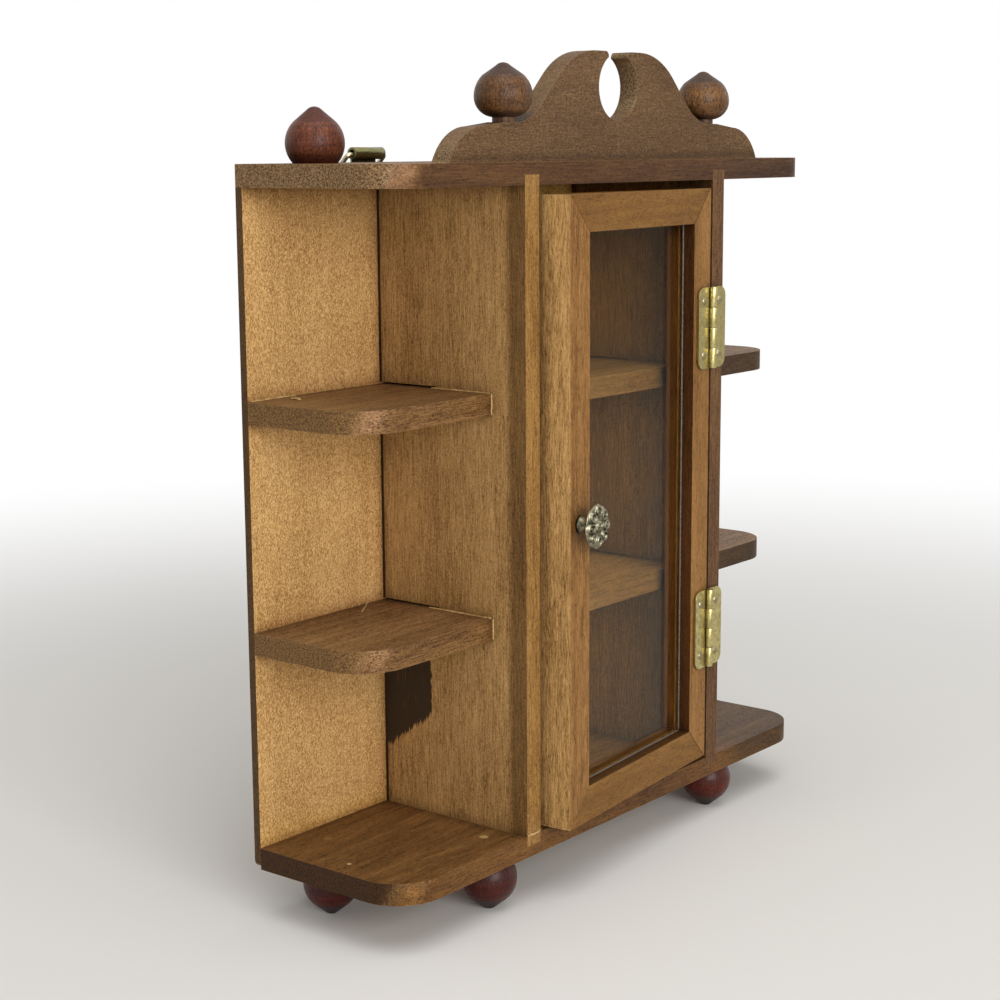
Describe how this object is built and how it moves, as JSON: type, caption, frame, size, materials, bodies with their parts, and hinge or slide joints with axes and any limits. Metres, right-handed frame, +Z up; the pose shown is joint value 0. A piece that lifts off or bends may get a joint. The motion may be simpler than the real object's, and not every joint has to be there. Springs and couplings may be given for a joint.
{
  "type": "thimble display case",
  "caption": "Small wooden display case with open side shelves, a glazed centre door, a scrolled pediment and turned ball feet, to stand or hang on a wall.",
  "frame": {"origin": "centre of the footprint, at the level on which the feet stand", "axes": "+X to the right seen from the front, +Y from the front to the back, +Z up"},
  "size_m": [0.206, 0.0795, 0.2412],
  "materials": {
    "board_wood": "brown stain, satin varnish",
    "divider_wood": "golden brown stain, satin varnish",
    "shelf_wood": "brown stain, satin varnish",
    "panel_wood": "golden tan, short vertical grain, satin varnish",
    "crest_wood": "dark brown stain, satin",
    "finial_wood": "brown stain, satin",
    "ball_wood": "red-brown gloss lacquer",
    "door_wood": "golden brown stain, satin varnish",
    "plain_wood": "bare hardwood",
    "glass": "clear float glass",
    "hinge_brass": "polished, slightly dulled",
    "knob_brass": "antique, darkened in the hollows",
    "hanger_brass": "olive, tarnished",
    "steel": "plain"
  },
  "bodies": {
    "case": {"top_board": "board_wood", "bottom_board": "board_wood", "left_divider": "divider_wood", "right_divider": "divider_wood", "upper_shelf": "shelf_wood", "lower_shelf": "shelf_wood", "back_panel": "panel_wood", "panel_pins": "steel", "pediment": "crest_wood", "pediment_dowels": "plain_wood", "pediment_finial_left": "finial_wood", "pediment_finial_right": "finial_wood", "wing_ball_left": "ball_wood", "wing_ball_right": "ball_wood", "front_foot_left": "ball_wood", "front_foot_right": "ball_wood", "rear_foot_left": "ball_wood", "rear_foot_right": "ball_wood", "upper_hinge_case_leaf": "hinge_brass", "upper_hinge_pin": "hinge_brass", "lower_hinge_case_leaf": "hinge_brass", "lower_hinge_pin": "hinge_brass", "hinge_case_nails": "steel", "left_hanger_strap": "hanger_brass", "right_hanger_strap": "hanger_brass", "hanger_screws": "steel"},
    "door": {"door_hinge_stile": "door_wood", "door_closing_stile": "door_wood", "door_top_rail": "door_wood", "door_bottom_rail": "door_wood", "door_glass": "glass", "door_knob": "knob_brass", "door_knob_screw": "steel", "upper_hinge_door_leaf": "hinge_brass", "lower_hinge_door_leaf": "hinge_brass", "hinge_door_nails": "steel"},
    "left_ring": {"left_hanger_ring": "hanger_brass"},
    "right_ring": {"right_hanger_ring": "hanger_brass"}
  },
  "joints": [
    {"name": "door_swing", "type": "hinge", "parent": "case", "child": "door", "pos_m": [0.0424, -0.0295, 0.11175], "axis": [0, 0, 1], "range_deg": [-5.8, 172]},
    {"name": "left_ring_swing", "type": "hinge", "parent": "case", "child": "left_ring", "pos_m": [-0.0523, 0.027, 0.21265], "axis": [1, 0, 0], "range_deg": [0, 230]},
    {"name": "right_ring_swing", "type": "hinge", "parent": "case", "child": "right_ring", "pos_m": [0.0523, 0.027, 0.21265], "axis": [1, 0, 0], "range_deg": [0, 230]}
  ]
}
